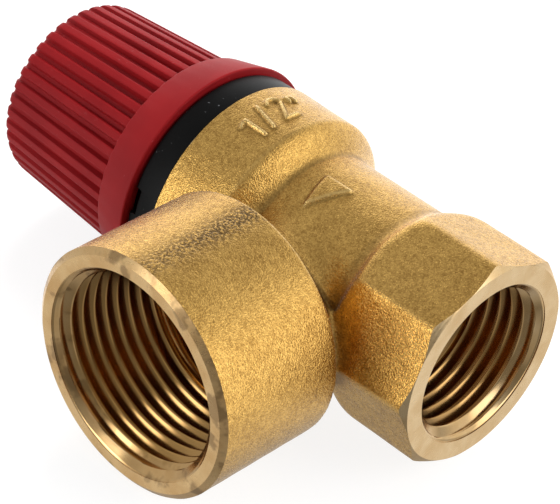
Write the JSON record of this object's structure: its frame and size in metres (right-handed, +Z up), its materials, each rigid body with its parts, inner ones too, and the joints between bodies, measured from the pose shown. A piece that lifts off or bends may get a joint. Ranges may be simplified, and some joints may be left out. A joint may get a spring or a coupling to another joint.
{
  "type": "pressure relief valve",
  "caption": "Brass diaphragm pressure relief valve: octagonal female inlet, larger female side outlet, black collar and ribbed red turn-to-test knob.",
  "frame": {"origin": "on the inlet axis, at the first thread of the inlet", "axes": "+X out of the inlet, -Y out of the outlet, +Z up with the valve lying on its side, knob at the -X end"},
  "size_m": [0.0714, 0.0495, 0.0318],
  "materials": {
    "forged_brass": "grit-blasted forged skin with turned ports",
    "turned_brass": "turned",
    "steel": "zinc plated",
    "rubber": "matte",
    "black_plastic": "satin moulded",
    "red_plastic": "satin moulded",
    "white_plastic": "matte"
  },
  "bodies": {
    "housing": {"valve_body": "forged_brass", "bonnet": "black_plastic", "slip_ring": "steel", "diaphragm": "rubber", "spring": "steel", "spring_washer": "steel", "adjusting_nut": "turned_brass", "guide_bush": "white_plastic"},
    "spindle": {"stem": "turned_brass", "disc_holder": "turned_brass", "seat_disc": "rubber", "disc_washer": "steel", "disc_screw": "steel", "diaphragm_washer": "steel", "spring_plate": "steel", "stem_nut": "steel", "thrust_washer": "steel", "knob_washer": "steel", "knob_screw": "steel"},
    "test_knob": {"knob": "red_plastic", "end_cap": "red_plastic"}
  },
  "joints": [
    {"name": "stem_lift", "type": "slide", "parent": "housing", "child": "spindle", "axis": [-1, 0, 0], "range_m": [0, 0.002], "deforming": ["spring", "diaphragm"]},
    {"name": "knob_turn", "type": "hinge", "parent": "spindle", "child": "test_knob", "pos_m": [-0.0639, 0, 0], "axis": [-1, 0, 0], "range_deg": [0, 75]}
  ],
  "couplings": [
    {"joint": "knob_turn", "follows": "stem_lift", "rad_per_m": 654.5}
  ]
}
